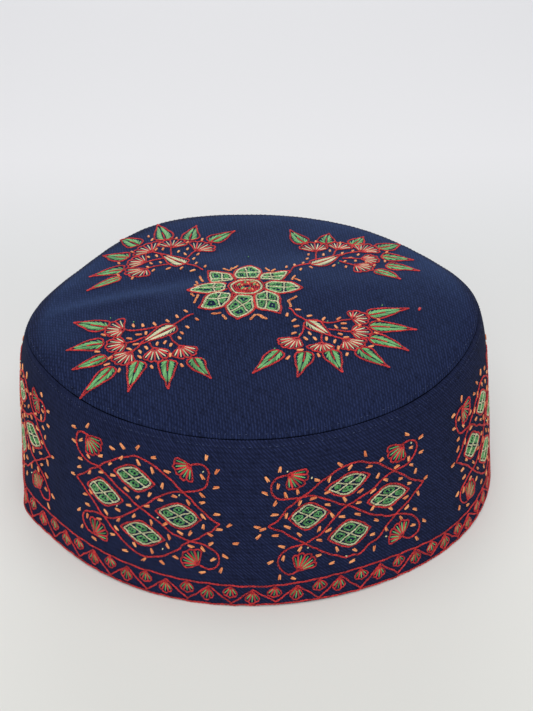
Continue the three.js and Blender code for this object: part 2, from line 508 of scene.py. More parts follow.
# %% Model a link and a strand
def as_arrays(bm, reshape):
    """A template as arrays: its points, its faces' corners, and the map of each corner."""
    bm.verts.index_update()
    spots = np.array([v.co for v in bm.verts])
    corners = [[v.index for v in face.verts] for face in bm.faces]
    bm.free()
    spots, turn, length = reshape(spots)
    counts = np.array([len(face) for face in corners])
    corners = np.concatenate(corners)
    faces = np.repeat(np.arange(len(counts)), counts)
    uv = np.stack([wrapped(length[corners], faces, 99), wrapped(turn[corners], faces, 1.0)], -1)
    return {"spots": spots, "corners": corners, "counts": counts, "uv": uv}


LOOP_RADIUS, THREAD_RADIUS = 0.34, 0.16
LINK_LENGTH = 1.3  # of the way to the next link, so that each link lies over the next one's start


def drop_shape(spots):
    """Pulls a flat ring into a drop along x, one wide and one high."""
    far = np.hypot(spots[:, 0], spots[:, 1])
    turn = np.arctan2(spots[:, 2], far - LOOP_RADIUS) / (2 * np.pi)
    way = (np.arctan2(spots[:, 1], spots[:, 0]) / np.pi) ** 2
    along = spots[:, 0] + 0.5
    shaped = np.stack([LINK_LENGTH * along - 0.03, spots[:, 1] * (0.62 + 0.5 * along),
                       0.45 + spots[:, 2] / THREAD_RADIUS * 0.5 + 0.22 * (along - 0.5)], -1)
    return shaped, turn, 1 - way


def chain_link():
    bm = bmesh.new()
    ring = bmesh.ops.create_circle(bm, segments=4, radius=THREAD_RADIUS)["verts"]
    bmesh.ops.rotate(bm, verts=ring, matrix=Matrix.Rotation(math.radians(90), 3, "X"))
    bmesh.ops.translate(bm, verts=ring, vec=(LOOP_RADIUS, 0, 0))
    bmesh.ops.spin(bm, geom=ring + list(bm.edges), cent=(0, 0, 0), axis=(0, 0, 1),
                   angle=2 * math.pi, steps=7, use_merge=True)
    bmesh.ops.recalc_face_normals(bm, faces=bm.faces)
    return as_arrays(bm, drop_shape)


def long_shape(spots):
    """Pulls a ball into a strand, from 0 to 1 along x, one wide and one high."""
    round_it = np.hypot(spots[:, 1], spots[:, 2])
    fuller = np.where(round_it > 1e-6, (2 * round_it + 1e-9) ** -0.5, 0)
    turn = np.arctan2(spots[:, 2], spots[:, 1]) / (2 * np.pi)
    shaped = np.stack([spots[:, 0] + 0.5, spots[:, 1] * fuller, 0.35 + 1.1 * spots[:, 2] * fuller], -1)
    return shaped, turn, spots[:, 0] + 0.5


def strand():
    bm = bmesh.new()
    bmesh.ops.create_uvsphere(bm, u_segments=6, v_segments=5, radius=0.5)
    bmesh.ops.rotate(bm, verts=bm.verts, matrix=Matrix.Rotation(math.radians(90), 3, "Y"))
    bmesh.ops.recalc_face_normals(bm, faces=bm.faces)
    return as_arrays(bm, long_shape)


LINK = chain_link()
STRAND = strand()
print("A link has", len(LINK["counts"]), "faces and a strand has", len(STRAND["counts"]))

# %% [markdown]
# ## Lines on cloth
#
# The pattern is drawn flat, in millimetres, as an embroiderer draws it on the cloth. A line is a few
# points with a smooth curve through them. A surface is a function that takes flat points to their
# places on the cap and gives the direction straight out of the cloth there.

# %% Draw lines
FINE_GAP = 0.25  # millimetres between the points that a line is measured by


def on_crown(points):
    x, y = np.asarray(points, float).T
    return np.stack([x, y, crown_height(x, y)], -1), crown_outward(x, y)


BAND_DEGREE = 1.6  # millimetres to one degree of the band


def on_band(centre):
    """Flat points are millimetres to the right of the centre, which is in degrees, and the height."""
    def surface(points):
        s, z = np.asarray(points, float).T
        angle = np.radians(centre + s / BAND_DEGREE)
        rise = z / around(HEIGHT, angle)
        return band_point(angle, rise), band_outward(angle, rise)
    return surface


def spaced(points, gap, closed=False):
    """Points an equal gap apart along a line."""
    points = np.asarray(points, float)
    if closed:
        points = np.vstack([points, points[:1]])
    length = np.concatenate([[0], np.cumsum(np.linalg.norm(np.diff(points, axis=0), axis=1))])
    count = max(2, int(round(length[-1] / gap)) + 1)
    at = np.linspace(0, length[-1], count)
    made = np.stack([np.interp(at, length, points[:, k]) for k in range(points.shape[1])], -1)
    return made[:-1] if closed else made


def smooth(points, closed=False):
    """A smooth line through the points, with ten short steps from each point to the next."""
    p = np.asarray(points, float)
    p = np.vstack([p[-1:], p, p[:2]]) if closed else np.vstack([2 * p[0] - p[1], p, 2 * p[-1] - p[-2]])
    f = np.linspace(0, 1, 10, endpoint=False)[:, None]
    made = [through(*p[k:k + 4], f) for k in range(len(p) - 3)]
    return np.vstack(made if closed else made + [p[-2:-1]])


print("Smoothing turns 4 points into", len(smooth([(0, 0), (1, 1), (2, 0), (3, 1)])))

# %% [markdown]
# ## Stitches along a line
#
# Chain stitch is the main stitch of this craft: every link holds down the one before it, so a line
# of it looks like a fine plait. A straight stitch fills leaves and blossoms, and a seed stitch is two
# strands that spread from one hole. Machine stitches would be even, but a hand sways and pulls
# harder or softer, so each stitch differs a little by chance. The chance starts from a fixed number,
# so that every run sews the same cap.

# %% Lay stitches along lines
rng = np.random.default_rng(7)
needlework = {}


def keep(piece, shape, start, along, side, up):
    """Keeps a group of copies of a stitch, to be joined when all of them are known."""
    needlework.setdefault(piece, []).append((shape, start, along, side, up))


def chain(piece, surface, line, width=1.0, pitch=1.35, closed=False):
    """Chain stitch along a flat line. The hand sways a little from side to side."""
    spots, out = surface(spaced(smooth(line, closed) if len(line) > 2 else line, FINE_GAP, closed))
    way = spaced(np.hstack([spots, out]), pitch)
    sway = 0.12 * np.sin(1.2 * np.arange(len(way)) + rng.uniform(0, 6.3)) + rng.normal(0, 0.07, len(way))
    sway[[0, -1]] = 0
    way[:, :3] += sway[:, None] * unit(np.cross(way[:, 3:], np.gradient(way[:, :3], axis=0)))
    start, out = way[:-1, :3], unit(way[:-1, 3:] + way[1:, 3:])
    along = way[1:, :3] - start
    wide = width * rng.uniform(0.88, 1.12, (len(start), 1))
    keep(piece, LINK, start, along, unit(np.cross(out, along)) * wide, out * 0.42)


def straight(piece, surface, pairs, width=0.75, height=0.36):
    """Straight stitches, each from one flat point to another."""
    pairs = np.asarray(pairs, float).reshape(-1, 4)
    start, out = surface(pairs[:, :2])
    end, _ = surface(pairs[:, 2:])
    along = end - start
    wide = width * rng.uniform(0.9, 1.1, (len(pairs), 1))
    keep(piece, STRAND, start, along, unit(np.cross(out, along)) * wide, out * height)


def seeds(piece, surface, places, length=2.5, width=0.8, spread=0.22):
    """Seed stitches at x, y, with a direction in degrees: two strands that spread from one hole."""
    x, y, turn = np.asarray(places, float).T
    ahead = np.stack([np.cos(np.radians(turn)), np.sin(np.radians(turn))], -1)
    ahead = ahead * rng.choice([-1, 1], (len(x), 1))
    aside = np.stack([-ahead[:, 1], ahead[:, 0]], -1)
    hole = np.stack([x, y], -1) - ahead * length / 2
    for way in (1, -1):
        reach = ahead * length * rng.uniform(0.75, 1.1, (len(x), 1))
        off = way * spread * aside
        straight(piece, surface, np.hstack([hole + 0.3 * off, hole + reach + off]), width, 0.5)


def specks(piece, surface, places):
    """Tiny single stitches."""
    seeds(piece, surface, places, 0.7, 0.5, 0.0)


def ticks(piece, surface, places):
    """Slender seed stitches, split wider at one end."""
    seeds(piece, surface, places, 2.6, 0.6, 0.34)


print("The stitches are chain, straight, seeds, specks and ticks")

# %% [markdown]
# ## The motifs
#
# The whole pattern is made of a few motifs. A leaf is outlined in red and filled with slanting
# strands. A fan is a small blossom of strands between red spokes, with a scalloped edge. Both could
# be drawn point by point each time, but a leaf is known by three points and its width, and a fan by
# its hub, its angles and its radii, so a function works out the rest.

# %% Stitch leaves and fans
LEAF_STEPS = np.linspace(0, 1, 25)
FULLEST = 3.27  # brings the curve of a leaf's side to one at its widest place


def leaf(base, middle, tip, width):
    """The leaf's middle line, the way to its side, and its half width at each step."""
    base, middle, tip = (np.array(p, float) for p in (base, middle, tip))
    t = LEAF_STEPS[:, None]
    pull = 2 * middle - (base + tip) / 2
    line = (1 - t) ** 2 * base + 2 * t * (1 - t) * pull + t ** 2 * tip
    ahead = unit(np.gradient(line, axis=0))
    half = width / 2 * FULLEST * (1 - t) ** 1.3 * t ** 0.6
    return line, np.stack([-ahead[:, 1], ahead[:, 0]], -1), half


def read_at(share, values):
    return np.stack([np.interp(share, LEAF_STEPS, column) for column in values.T], -1)


def stitch_leaf(where, surface, base, middle, tip, width, fill="green", rib=0.62, gap=1.1, strand=0.8):
    """The rib is a share of the leaf, the gap lies between strands, and the strand is their width."""
    line, aside, half = leaf(base, middle, tip, width)
    for way in (1, -1):
        chain(where + "_red", surface, (line + way * aside * half)[::3], 0.9)
    chain(where + "_red", surface, line[1:int(len(LEAF_STEPS) * rib):3], 0.7, 1.2)
    length = np.linalg.norm(np.diff(line, axis=0), axis=1).sum()
    for way in (1, -1):
        share = np.arange(0.05, 0.68, gap / length)
        slant = read_at(share, half)[:, 0] * 1.3 / length + 0.06
        ends = []
        for place, out in ((share, 0.2), (np.minimum(share + slant, 0.86), 0.74)):
            off = way * np.maximum(read_at(place, half) * out, 0.4)
            ends.append(read_at(place, line) + off * read_at(place, aside))
        straight(where + "_" + fill, surface, np.hstack(ends), strand, 0.4)


def stitch_fan(where, surface, hub, start, end, radii, lobes, fill, strand_width=0.75):
    """Opens from the start to the end, in degrees, with a radius at each and one between them."""
    hub = np.array(hub, float)

    def at(t, share):
        first, middle, last = (1 - t) * (1 - 2 * t), 4 * t * (1 - t), t * (2 * t - 1)
        r = share * (radii[0] * first + radii[1] * middle + radii[2] * last)
        turn = np.radians(start + (end - start) * t)
        return hub + r * np.array([math.cos(turn), math.sin(turn)])

    edge = [hub]
    for lobe in range(lobes):
        edge += [at(lobe / lobes, 0.88), at((lobe + 0.25) / lobes, 1.0), at((lobe + 0.75) / lobes, 1.0)]
    chain(where + "_red", surface, edge + [at(1.0, 0.88), hub], 1.1 * strand_width, 1.2)
    middles = [(lobe + 0.5) / lobes for lobe in range(lobes)]
    strands = [np.hstack([at(t, 0.24), at(t, 0.9)]) for t in middles]
    straight(where + "_" + fill, surface, strands, 0.72 * strand_width, 0.4)
    between = [lobe / lobes for lobe in range(1, lobes)]
    spokes = [np.hstack([at(t, 0.1), at(t, 0.92)]) for t in between]
    straight(where + "_red", surface, spokes, 1.15 * strand_width, 0.42)


print("A leaf's side has", len(LEAF_STEPS), "steps")

# %% [markdown]
# ## Shapes with cells
#
# A petal and a lozenge both have a second outline in cream, a cream cross that parts them into four
# cells, and a loop of green in each cell. Making the shape smaller would leave wide gaps at its
# points. So to put one outline inside another, each point moves inwards, and points that come too
# near the outer line are dropped, which keeps the gap even and the corners clean.

# %% Stitch the cells of petals and lozenges
def inside(loop, gap):
    """The loop, moved inwards by the gap, without the points that come too near it."""
    loop = spaced(loop, FINE_GAP, True)
    ahead = np.roll(loop, -1, 0) - np.roll(loop, 1, 0)
    way = np.sign(np.sum(loop[:, 0] * np.roll(loop[:, 1], -1) - np.roll(loop[:, 0], -1) * loop[:, 1]))
    moved = loop + gap * way * unit(np.stack([-ahead[:, 1], ahead[:, 0]], -1))
    near = np.linalg.norm(moved[:, None] - loop[None], axis=2).min(1)
    return moved[near > 0.93 * gap]


FEWEST_POINTS = 7  # a loop of fewer has shrunk away


def ring_of(piece, surface, loop, width, pitch):
    """Chain stitch round a closed loop of many points."""
    if len(loop) >= FEWEST_POINTS:
        chain(piece, surface, spaced(loop, 1.2, True), width, pitch, closed=True)


def stitch_cells(where, surface, loop, middle, arms, cream=0.74, green=0.8):
    """A cream outline inside the loop, a cream cross, and a green loop in each of the four cells."""
    inner = inside(loop, 0.82)
    ring_of(where + "_cream", surface, inner, cream, 1.2)
    middle = np.array(middle, float)
    order = sorted(int(np.linalg.norm(inner - np.array(arm), axis=1).argmin()) for arm in arms)
    for k, first in enumerate(order):
        chain(where + "_cream", surface, [middle, inner[first]], 0.85 * cream, 1.2)
        last = order[(k + 1) % 4]
        arc = inner[first:last] if last > first else np.vstack([inner[first:], inner[:last]])
        cell = inside(np.vstack([middle[None], arc]), 0.96)
        ring_of(where + "_green", surface, cell, green, 1.1)
        if len(cell) >= FEWEST_POINTS:
            specks(where + "_green", surface, [(*cell.mean(0), 90)])


print("A loop is stitched when it has at least", FEWEST_POINTS, "points")

# %% [markdown]
# ## The flower on the crown
#
# Eight pointed petals stand round a small disc in the middle of the crown. They were worked by hand
# and none is quite like the next, so each has its own points: up one side to the tip, down the
# other side, then the middle of its cross and where the four arms end. Orange stitches branch out
# of the notches between the petals.

# %% Stitch the flower
PETALS = (
    # up one side, down the other, middle of the cross, its arms
    ([(-6.5, -5.2), (-8, -8.5), (-9.4, -11), (-10.6, -14.5), (-9.8, -18), (-8, -21), (-6.2, -23.2)],
     [(-6.2, -23.2), (-4, -21.2), (-1.2, -18.6), (0.1, -16), (0.2, -12), (0, -8.5), (-0.4, -6)],
     (-4.4, -13), [(-6.8, -8.7), (-1, -9), (-2.6, -18), (-8, -17.6)]),
    ([(0.4, -5.2), (0, -8), (0.2, -12), (0.9, -15.8), (4, -17.2), (6.6, -18.4), (9.4, -19.7)],
     [(9.4, -19.7), (9.7, -16), (9.7, -12), (9.5, -8), (8.9, -5.6), (6.6, -3.9), (4.2, -2.6)],
     (4.8, -9.8), [(4.9, -4), (1.2, -9.3), (3.9, -16), (8.9, -11.3)]),
    ([(4, -1.4), (6, -3.6), (9.3, -5.2), (12, -4.6), (14.5, -3.6), (16.8, -2), (18.5, -0.4)],
     [(18.5, -0.4), (16.4, 2.6), (14.5, 4.2), (12, 4.9), (9, 5.1), (6, 4.7), (4, 3)],
     (11.6, 0), [(11.3, 4.2), (5, 0.6), (11, -4), (16.5, 0.5)]),
    ([(10.8, 5.8), (11.8, 8), (13, 11), (14.5, 15)],
     [(14.5, 15), (11, 14.8), (8, 13.7), (5, 13), (2.8, 11.4), (2, 8.6), (2.2, 6.2)],
     (6.9, 9.1), [(6.7, 12.6), (3, 9.5), (6.8, 5.5), (11.8, 10.2)]),
    ([(1.4, 7.4), (2.6, 10), (3.2, 13), (2.5, 16.8), (0.9, 19.6), (-1.5, 21.6)],
     [(-1.5, 21.6), (-4.3, 19.8), (-6.6, 17), (-7.7, 14), (-7.7, 10.5), (-6.8, 7.4)],
     (-2.7, 13.5), [(-2.7, 18.8), (-6.9, 14.3), (-2.3, 8), (2.6, 13.8)]),
    ([(-7.2, 6.4), (-7.9, 9.8), (-9, 13), (-11.2, 15), (-14, 16.8), (-18.2, 19.1)],
     [(-18.2, 19.1), (-17.8, 14), (-17.4, 10), (-17, 7), (-16.2, 5.4)],
     (-12.3, 9.2), [(-12.9, 15), (-16.6, 10), (-11.6, 5.4), (-8.2, 7.4)]),
    ([(-10.3, 3.4), (-12.6, 5.1), (-15.5, 5.6), (-18.4, 5.3), (-21, 4.1), (-23, 2.3), (-25.4, 0)],
     [(-25.4, 0), (-23.6, -1.9), (-21.2, -3.3), (-18.5, -4.2), (-15.6, -4), (-12.8, -3), (-10.3, -1)],
     (-15.6, 0.8), [(-14.8, 4.6), (-21.6, 0.6), (-14.6, -3.2), (-11, 1)]),
    ([(-8.4, -4.2), (-8.2, -6.8), (-9, -9.6), (-10.2, -12), (-11.2, -14.3), (-13.8, -15.3), (-16.6, -16),
      (-18.6, -15.2), (-20.6, -14.2)],
     [(-20.6, -14.2), (-19.5, -11.5), (-19, -8.8), (-18, -6), (-16.6, -4), (-13, -2.8)],
     (-13.7, -8.5), [(-12.3, -3.4), (-17.8, -7.8), (-12.6, -14), (-9, -7.4)]),
)
DISC_EDGE = [(-9.6, 2.5), (-9.3, -1), (-8, -4), (-5.5, -5.4), (-2, -5.8), (1.2, -4.8), (3.2, -2.4),
             (3.9, 0.8), (3.2, 3.8), (1.5, 5.8), (-1.5, 6.8), (-5, 6.6), (-7.8, 5.2)]
DISC_SEEDS = [(-1.7, -1.2, 80), (-4.4, -0.6, 60), (-3.3, 3.9, 85), (0.2, 2.2, 80), (-5.6, 2.4, 60),
              (-0.6, 4, 30)]
BRANCHES = [
    # orange stitches in the notches, from x, y to x, y
    (-16, -18.6, -13.8, -18.9), (-14, -19, -12.4, -18.4), (-11.8, -19.6, -10.3, -22.8),
    (-1.7, -23.6, 0.2, -20.2), (0.5, -19.9, 2.4, -20.9), (2.2, -20.4, 4.3, -23.1),
    (1.8, -21.2, 3.2, -22.6), (12.2, -11.3, 13.9, -9.2), (13.9, -9.4, 15.8, -7.2),
    (12.7, -10.8, 13.3, -15), (16.2, 10.6, 14.8, 6.6), (15.6, 7.6, 17.8, 5.4), (4.6, 19, 6.2, 15.4),
    (8.8, 17.3, 7.2, 14.9), (-12.3, 19.6, -9.6, 16.6), (-8.6, 19.8, -9, 16.8), (-6.2, 21.7, -8.2, 18.4),
    (-21.3, 15.6, -20.5, 11.6), (-20.5, 11.4, -19.7, 8.4), (-22.5, 10, -21.7, 5.8),
    (-23, 5.4, -21.6, 3.6), (-23.9, -2.8, -22.6, -5.6), (-21.2, -4.4, -21.4, -7.2),
    (-21.5, -7, -22.3, -10.7),
]


def stitch_petal(up, down, middle, arms):
    chain("crown_red", on_crown, up, 1.0)
    chain("crown_red", on_crown, down, 1.0)
    loop = np.vstack([smooth(up), smooth(down)[1:]])
    stitch_cells("crown", on_crown, loop, middle, arms, cream=0.95, green=1.05)


for petal in PETALS:
    stitch_petal(*petal)
chain("crown_red", on_crown, DISC_EDGE, 0.9, closed=True)
ring = smooth(DISC_EDGE, True)
for thread, gap, width in [("cream", 0.95, 0.92), ("red", 0.9, 0.8)] + 4 * [("red", 0.8, 0.62)]:
    ring = inside(ring, gap)
    ring_of("crown_" + thread, on_crown, ring, width, 1.2)
seeds("crown_green", on_crown, DISC_SEEDS, 2.2, 0.75, 0.3)
beside = [(x + 1.1, y - 0.7, turn + 25) for x, y, turn in DISC_SEEDS]
seeds("crown_orange", on_crown, beside, 1.8, 0.5, 0.2)
for branch in BRANCHES:
    chain("crown_orange", on_crown, [branch[:2], branch[2:]], 1.2, 1.5)
print("The flower has", len(PETALS), "petals")

# %% [markdown]
# ## The four sprays
#
# A spray grows outwards from the flower towards each quarter of the crown: a stem, a cream bud,
# five branches that end in blossoms, and seven leaves round them, with orange seed stitches between.
# The four are alike but not equal, so each is charted as it was sewn.

# %% Chart the two front sprays
FRONT_SPRAYS = {
    "front_left": {
        "stem": [(-22, -18.2), (-24.5, -19.3), (-26.5, -22.3), (-29, -24.9)],
        "bud": ((-28.3, -25.6), (-33.4, -30), (-40.6, -36.4), 7.2),
        "branches": [
            [(-34.5, -25.9), (-39, -26.8), (-43, -27.2), (-46.2, -26.2)],
            [(-38.2, -32), (-40.5, -32.8), (-42.5, -34), (-45, -35)],
            [(-39.8, -35.6), (-41, -38), (-42.4, -40.4)],
            [(-37.2, -35.4), (-36.5, -37), (-35.5, -39)],
            [(-30, -31.5), (-29.4, -34), (-28, -36.8), (-26.5, -38.8)],
        ],
        "blossoms": [
            ((-46.8, -26.3), 94, 254, (8.6, 7.4, 4.6), 6), ((-45.2, -35), 122, 264, (5, 7.4, 5.4), 5),
            ((-42.8, -40.6), 186, 286, (6, 8.4, 6.4), 5), ((-35, -39.2), 232, 342, (6, 8.4, 5.2), 5),
            ((-26.2, -38.8), 246, 350, (6, 8, 6), 5),
        ],
        "leaves": [
            ((-52.8, -23.8), (-59, -20.2), (-66.5, -15.9), 8),
            ((-53, -34.3), (-58.5, -34.5), (-66.2, -35.8), 7.4),
            ((-51.3, -42.4), (-56, -45.2), (-62.4, -47.8), 5.8),
            ((-48.7, -48.8), (-51.6, -54.6), (-58, -61.9), 6),
            ((-39.8, -46.4), (-40.6, -52), (-41.9, -63), 6.4),
            ((-29.5, -46.8), (-29.7, -52), (-28.7, -62.8), 6.4),
            ((-21, -46), (-19.3, -50.8), (-14.8, -58.3), 6),
        ],
        "seeds": [
            (-25.2, -16, -50), (-28.2, -19.5, -70), (-31.5, -22.3, -55), (-20.8, -22, -60),
            (-36, -24, -60), (-40.2, -24.3, -75), (-43.7, -23.8, -70), (-24.2, -26.7, -55),
            (-25.9, -30.5, -60), (-26.5, -34, -65), (-41.2, -30, 0), (-38.7, -29.3, 90),
            (-44.4, -32.1, -20), (-41.7, -36, 10), (-34.2, -36.7, 80), (-31.5, -36.2, 70),
            (-29.3, -37.8, 80), (-37.8, -38.7, -65), (-39.8, -40.8, -60), (-39.7, -44, -60),
            (-54, -28.5, -35), (-55, -39, -15), (-43.7, -38.8, -40), (-50.6, -47.3, 20), (-46, -51.2, 80),
            (-29.2, -44, 90), (-35.2, -50, -65), (-24.9, -50.2, -65), (-50, -43.4, 50),
        ],
        "specks": [(-52.8, -16.3, 100), (-43.8, -21.2, 100), (-17.7, -47, 60)],
    },
    "front_right": {
        "stem": [(12.5, -15.8), (14, -18), (15, -20.5), (17, -22.5), (18.8, -24.1)],
        "bud": ((18.8, -24), (22.2, -28.4), (26.8, -34), 6.8),
        "branches": [
            [(20, -23.9), (23, -24.3), (26, -25.3), (28, -25.2), (31, -24), (34.8, -23.2)],
            [(26, -29.4), (28.5, -30), (31, -31), (33.7, -31.3)],
            [(26.6, -33.4), (28.5, -34.8), (31, -36.1)],
            [(23.6, -32.6), (23.4, -35), (23.3, -38.5)],
            [(17.8, -26.5), (17.3, -29.5), (16.5, -32.5), (15.2, -35.4)],
        ],
        "blossoms": [
            ((35.3, -22.5), 112, -75, (4.4, 6.4, 4.6), 6), ((33.9, -31.4), 66, -66, (4, 7.6, 4.6), 5),
            ((31.2, -36.1), 0, -108, (7.8, 7.6, 5.6), 6), ((23.2, -38.6), 204, 338, (6, 5.8, 4.8), 6),
            ((15, -35.5), 178, 290, (6.8, 7.6, 5.2), 6),
        ],
        "leaves": [
            ((41.2, -20), (47.2, -17.8), (57, -14.8), 6.8),
            ((40.8, -27.8), (47.6, -27.6), (57.8, -28.9), 7.2),
            ((39.9, -35.4), (45.6, -37), (53, -42.4), 7), ((36.2, -41.2), (39.2, -46.3), (45.1, -53), 7),
            ((26, -42.6), (26.7, -47.8), (29, -55.8), 6.6), ((17, -44), (16.3, -49), (13.8, -58.3), 6.6),
            ((8.5, -42.9), (5, -48.4), (-1, -56.2), 6),
        ],
        "seeds": [
            (11.8, -20.5, 80), (16, -16.8, 5), (19.8, -20.9, 20), (14.1, -24.2, 50), (14.8, -28, 20),
            (13.7, -32.5, 25), (25, -22.6, 60), (30.5, -22.5, 45), (29, -28, -70), (31.9, -26, 0),
            (31.9, -29.2, -10), (30.3, -33, -30), (37.4, -27.2, 50), (19.3, -32.7, -75), (17.7, -36, -60),
            (21, -36, -70), (25, -36, 85), (27.8, -37.5, 80), (43.2, -32, -30), (44.9, -23, -60),
            (32, -35, 10), (15.4, -43, 0), (11.2, -47.3, 60), (21.6, -46.2, -75), (31.5, -45, 75),
            (28.8, -41.4, 80), (40.3, -40.3, 20),
        ],
        "specks": [(6.7, -41.8, 60), (26.2, -24.3, 60), (15.7, -33.3, 60), (47.4, -12.6, 50)],
    },
}
print("The front sprays have", sum(len(chart["seeds"]) for chart in FRONT_SPRAYS.values()), "seed stitches")

# %% [markdown]
# ## The two sprays at the back
#
# The far half of the crown is seen at a flat angle, so a spray looks shorter there than it is. Its
# points were read in the photograph and then carried to the real surface, where it is as long as
# the front ones. That is why all charts are in millimetres on the cloth and none is in the picture.

# %% Chart the two back sprays
BACK_SPRAYS = {
    "back_left": {
        "stem": [(-20, 20.4), (-22.8, 23.8), (-26.1, 26.2), (-28, 27.2)],
        "bud": ((-27.6, 26.8), (-31.8, 31.2), (-38.8, 39.8), 8),
        "branches": [
            [(-32.8, 27.6), (-36.1, 28.2), (-39.4, 27.8), (-43.2, 26.8)],
            [(-36.6, 35), (-40.6, 34.2), (-44, 33.2)],
            [(-38.8, 39.4), (-41.1, 41.7), (-42.6, 42.6)],
            [(-33.8, 36.8), (-34.4, 41.7), (-34.4, 45)],
            [(-27.4, 32.8), (-25.8, 37.4), (-24, 40.8)],
        ],
        "blossoms": [
            ((-43.5, 26.6), 160, 292, (8.6, 8.4, 6.6), 5), ((-44, 33), 96, 214, (9, 8.6, 7), 5),
            ((-42.3, 42.4), 72, 192, (10, 9.4, 7.4), 5), ((-34.2, 44.6), 18, 152, (6.4, 9, 7.4), 5),
            ((-24, 40.6), -6, 110, (7.6, 9.4, 9.4), 5),
        ],
        "leaves": [
            ((-52.8, 20.8), (-58.5, 18.4), (-65.8, 13.2), 5), ((-52.8, 28.2), (-58, 28.7), (-66.8, 26.9), 9),
            ((-51.8, 41), (-57.2, 43.6), (-64, 48.8), 8.4), ((-48.6, 51.8), (-52.8, 57.4), (-58.4, 65.4), 8),
            ((-37.4, 53.2), (-39.2, 61), (-42.3, 73), 8.4), ((-26.8, 51.4), (-26.6, 57.4), (-24.7, 67.4), 8),
            ((-18.2, 49.5), (-14.2, 54.6), (-7.8, 61), 7.6),
        ],
        "seeds": [
            (-19.4, 23.3, 80), (-24.4, 20.6, 30), (-23.1, 27.2, 75), (-24.4, 32.2, 70), (-22.8, 37.2, 70),
            (-34.2, 23.9, 30), (-28.9, 23.1, 60), (-40.3, 24.2, 60), (-42.8, 28, -50), (-48.3, 18.9, 80),
            (-37.8, 30.8, -60), (-41.9, 31.4, -60), (-43.3, 37.8, -50), (-40, 37.8, -70), (-51.1, 46.1, -60),
            (-45.3, 60, -75), (-43.3, 55.6, 80), (-40, 48.9, 75), (-40.6, 44.4, 80), (-37.8, 43.9, 80),
            (-32.8, 54.2, 85), (-31.1, 40.6, 75), (-28.3, 37.8, -70), (-27.5, 42.8, 85), (-27.8, 49.4, 75),
            (-21.7, 51.9, 80), (-55.6, 36.1, -60), (-54.4, 23.4, -70),
        ],
        "specks": [(-2, 33, 90)],
    },
    "back_right": {
        "stem": [(14.5, 15.2), (15.6, 18.3), (17.8, 21.1), (21.1, 22.8), (23.4, 24.2)],
        "bud": ((23, 22.6), (29, 27), (36, 34), 8),
        "branches": [
            [(25.4, 29), (25.8, 34), (26.1, 38.6)],
            [(32.6, 32.6), (33.9, 37.2), (35, 40)],
            [(35.8, 32.6), (37.8, 35), (41, 37), (44.6, 38.2)],
            [(36, 29.6), (40.6, 30), (43.8, 30)],
            [(34.6, 27), (37.8, 24), (40.6, 22.4)],
        ],
        "blossoms": [
            ((26, 38.4), 28, 152, (5.6, 10, 7.4), 6), ((35, 39.8), 18, 128, (6.8, 9, 6.4), 5),
            ((44.7, 38), -4, 112, (7.2, 10, 8.6), 6), ((43.8, 30), -54, 58, (6, 7.8, 6.2), 5),
            ((40.7, 23.3), -98, 22, (8.2, 8.4, 6.4), 5),
        ],
        "leaves": [
            ((22.3, 47.8), (19.2, 53), (16.3, 62.2), 7.4), ((31, 46.8), (31.4, 51.8), (33, 58), 7.6),
            ((41.8, 45.8), (44.6, 50), (47.8, 55.6), 7), ((52.3, 42.8), (57.4, 46.3), (63.2, 52), 8.4),
            ((52.6, 34), (58.4, 33.2), (65.9, 32.3), 8.8), ((53.3, 24.2), (58.6, 22.2), (66.2, 18.9), 7.8),
            ((48, 17.6), (52.4, 14.6), (57.1, 9), 6.8),
        ],
        "seeds": [
            (13.1, 19.4, 80), (16.4, 21.7, 85), (20, 24.4, 75), (18.6, 16.7, 70), (22.8, 19.4, -60),
            (21.9, 30, 60), (22.8, 35.6, 85), (28.9, 34.7, 85), (31.9, 38.6, 85), (36.7, 35.6, 75),
            (41.4, 38.9, 70), (43.3, 34.7, 60), (39.7, 30.6, 30), (36.9, 26.1, 60), (41.4, 27.2, 80),
            (32.2, 21.7, 60), (36.9, 20.6, 80), (48.6, 23.3, 70), (45.6, 26.7, 75), (53.6, 28.9, 85),
            (55.6, 38.9, 60), (26.7, 48.9, 85), (36.9, 47.6, 85),
        ],
        "specks": [(34.2, 24.4, 80)],
    },
}


print("The back sprays have", sum(len(chart["seeds"]) for chart in BACK_SPRAYS.values()), "seed stitches")

# %% [markdown]
# ## Stitching the sprays
#
# One function reads a chart and works the spray as an embroiderer does: first the stem and the
# branches, then the bud, the blossoms and the leaves, and the loose stitches last.

# %% Stitch the sprays
def stitch_spray(chart):
    for line in [chart["stem"]] + chart["branches"]:
        chain("crown_red", on_crown, line, 0.9)
    stitch_leaf("crown", on_crown, *chart["bud"], fill="cream", rib=0.8, gap=0.9, strand=0.52)
    for blossom in chart["blossoms"]:
        stitch_fan("crown", on_crown, *blossom, fill="cream")
    for shape in chart["leaves"]:
        stitch_leaf("crown", on_crown, *shape)
    seeds("crown_orange", on_crown, chart["seeds"])
    specks("crown_green", on_crown, chart["specks"])


for name, chart in {**FRONT_SPRAYS, **BACK_SPRAYS}.items():
    stitch_spray(chart)
    print("The", name, "spray has", len(chart["leaves"]), "leaves and", len(chart["seeds"]), "seed stitches")
seeds("crown_red", on_crown, [(61, -14.8, 70)])

# %% [markdown]
# ## The medallions on the band
#
# Eight medallions go round the band. In each, two long lines wave from corner to corner and curl
# round a small green fan at both ends, and two more make a diamond that crosses them. The four spaces
# between the lines hold a celled lozenge each, and orange ticks follow every line on both sides. The
# two at the front are charted stitch by stitch, across in degrees round the cap and up in
# millimetres. Round the rest of the band the two charts take turns. This is the left one.

